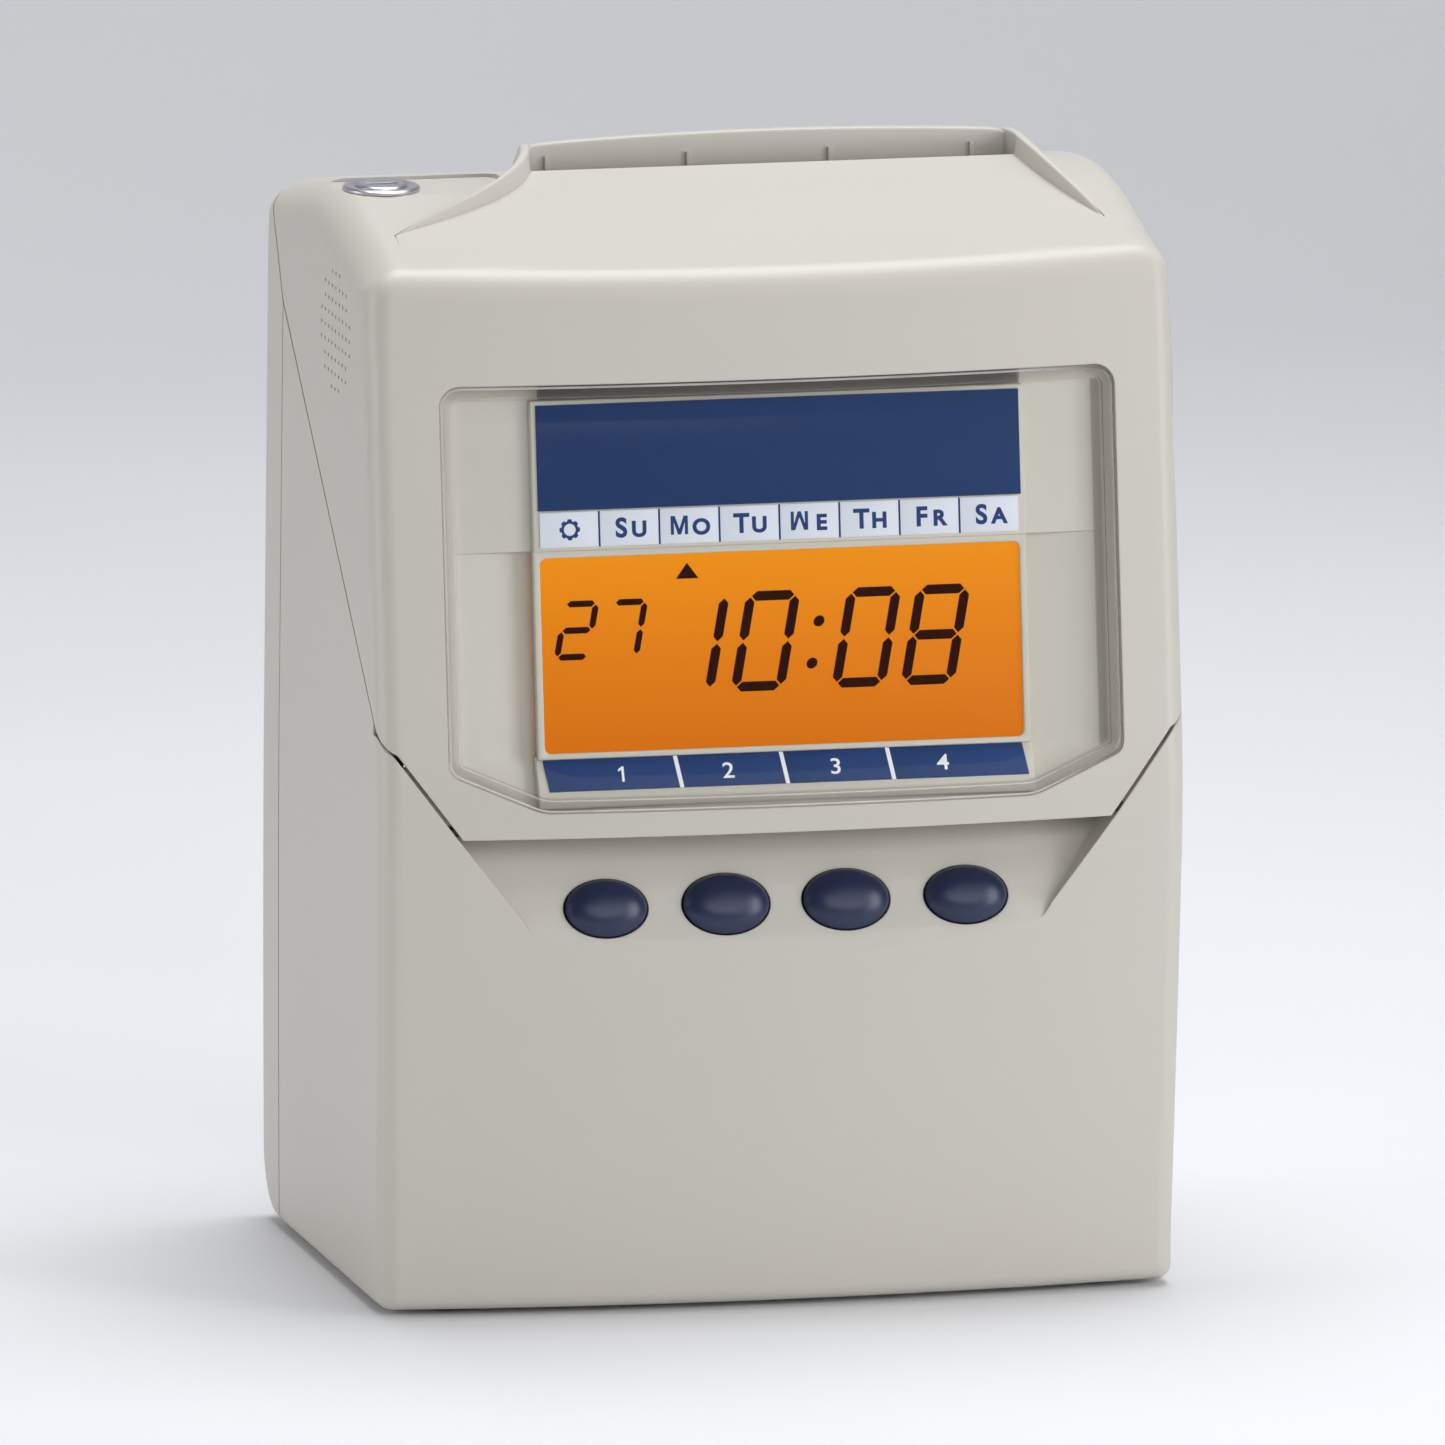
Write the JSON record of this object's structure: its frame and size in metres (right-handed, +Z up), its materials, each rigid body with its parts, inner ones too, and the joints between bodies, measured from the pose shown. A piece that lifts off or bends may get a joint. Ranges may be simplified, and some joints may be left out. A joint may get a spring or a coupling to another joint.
{
  "type": "punch time clock",
  "caption": "Electronic time recorder: sloped window with backlit clock display, four oval keys, card slot on top, keyed tilting cover over a dot-matrix card printer.",
  "frame": {"origin": "middle of the overall box at the bottom of the rubber feet", "axes": "front of the clock faces -Y, +X is the right-hand side of a person facing it, +Z up"},
  "size_m": [0.198, 0.132, 0.2701],
  "materials": {
    "case": "fine grain satin",
    "lens": "clear moulded",
    "bezel": "satin",
    "navy_print": "printed film",
    "pale_print": "printed film",
    "lcd": "backlit film",
    "lcd_ink": "dark segments",
    "diffuser": "milky",
    "circuit_board": "solder mask",
    "steel": "ground",
    "chrome": "polished",
    "black_plastic": "moulded",
    "button": "satin gloss",
    "sheet_metal": "zinc plated",
    "rubber": "matt",
    "gear_plastic": "acetal",
    "motor_can": "plated",
    "brass": "turned",
    "head_metal": "dark anodised",
    "ribbon_ink": "inked weave",
    "knob": "moulded",
    "battery_wrap": "shrink film",
    "core_steel": "varnished laminations"
  },
  "bodies": {
    "case": {"rear_housing": "case", "lower_housing": "case", "rubber_feet": "rubber", "case_screws": "steel", "chassis_frame": "sheet_metal", "front_card_guide": "sheet_metal", "rear_card_guide": "sheet_metal", "platen": "rubber", "feed_motor": "motor_can", "guide_rods": "steel", "carriage_motor": "motor_can", "timing_belt": "rubber", "ribbon_cassette": "black_plastic", "ink_ribbon": "ribbon_ink", "main_board": "circuit_board", "board_parts": "black_plastic", "backup_battery": "battery_wrap", "transformer": "core_steel", "power_inlet": "black_plastic", "button_board": "circuit_board", "tact_switches": "black_plastic"},
    "cover": {"upper_cover": "case", "window_lens": "lens", "display_bezel": "bezel", "header_plate": "navy_print", "day_strip": "pale_print", "lcd_glass": "lcd", "lcd_segments": "lcd_ink", "backlight": "diffuser", "display_board": "circuit_board", "number_strip": "navy_print", "hinge_pins": "steel", "lock_barrel": "chrome", "speaker": "black_plastic"},
    "lock": {"lock_plug": "chrome", "lock_cam": "steel"},
    "button_a": {"button_1": "button"},
    "button_b": {"button_2": "button"},
    "button_c": {"button_3": "button"},
    "button_d": {"button_4": "button"},
    "feed": {"feed_shaft": "steel", "feed_rollers": "rubber", "feed_gear": "gear_plastic"},
    "pinch": {"pinch_shaft": "steel", "pinch_rollers": "rubber"},
    "pinion": {"motor_pinion": "brass"},
    "print_carriage": {"carriage": "black_plastic", "print_head": "head_metal"},
    "belt_drive": {"drive_pulley": "gear_plastic"},
    "belt_idler": {"idler_pulley": "gear_plastic"},
    "ribbon_drive": {"ribbon_knob": "knob"}
  },
  "joints": [
    {"name": "cover_hinge", "type": "hinge", "parent": "case", "child": "cover", "pos_m": [0, -0.059, 0.1183], "axis": [1, 0, 0], "range_deg": [0, 60]},
    {"name": "lock_turn", "type": "hinge", "parent": "cover", "child": "lock", "pos_m": [-0.083, 0.014, 0.2465], "axis": [0, 0, 1], "range_deg": [0, 90]},
    {"name": "button_press_1", "type": "slide", "parent": "case", "child": "button_a", "axis": [0, 0.9135, -0.4067], "range_m": [0, 0.0012], "stiffness_N_per_m": 400, "springref_m": -0.0005},
    {"name": "button_press_2", "type": "slide", "parent": "case", "child": "button_b", "axis": [0, 0.9135, -0.4067], "range_m": [0, 0.0012], "stiffness_N_per_m": 400, "springref_m": -0.0005},
    {"name": "button_press_3", "type": "slide", "parent": "case", "child": "button_c", "axis": [0, 0.9135, -0.4067], "range_m": [0, 0.0012], "stiffness_N_per_m": 400, "springref_m": -0.0005},
    {"name": "button_press_4", "type": "slide", "parent": "case", "child": "button_d", "axis": [0, 0.9135, -0.4067], "range_m": [0, 0.0012], "stiffness_N_per_m": 400, "springref_m": -0.0005},
    {"name": "card_feed", "type": "hinge", "parent": "case", "child": "feed", "pos_m": [0.012, 0.0128, 0.1215], "axis": [1, 0, 0], "continuous": true},
    {"name": "pinch_spin", "type": "hinge", "parent": "case", "child": "pinch", "pos_m": [0.012, 0.0242, 0.1215], "axis": [1, 0, 0], "continuous": true},
    {"name": "pinion_spin", "type": "hinge", "parent": "case", "child": "pinion", "pos_m": [0.066, -0.00005, 0.10723], "axis": [1, 0, 0], "continuous": true},
    {"name": "carriage_slide", "type": "slide", "parent": "case", "child": "print_carriage", "axis": [1, 0, 0], "range_m": [-0.022, 0.022]},
    {"name": "belt_drive_spin", "type": "hinge", "parent": "case", "child": "belt_drive", "pos_m": [-0.03, -0.017, 0.1665], "axis": [0, 1, 0], "range_deg": [-215, 215]},
    {"name": "belt_idler_spin", "type": "hinge", "parent": "case", "child": "belt_idler", "pos_m": [0.054, -0.017, 0.1665], "axis": [0, 1, 0], "range_deg": [-215, 215]},
    {"name": "ribbon_advance", "type": "hinge", "parent": "case", "child": "ribbon_drive", "pos_m": [-0.008, -0.006, 0.2015], "axis": [0, 0, 1], "continuous": true}
  ],
  "couplings": [
    {"joint": "pinch_spin", "follows": "card_feed", "ratio": -1.2},
    {"joint": "pinion_spin", "follows": "card_feed", "ratio": -3},
    {"joint": "belt_drive_spin", "follows": "carriage_slide", "rad_per_m": -166.67},
    {"joint": "belt_idler_spin", "follows": "carriage_slide", "rad_per_m": -166.67}
  ]
}
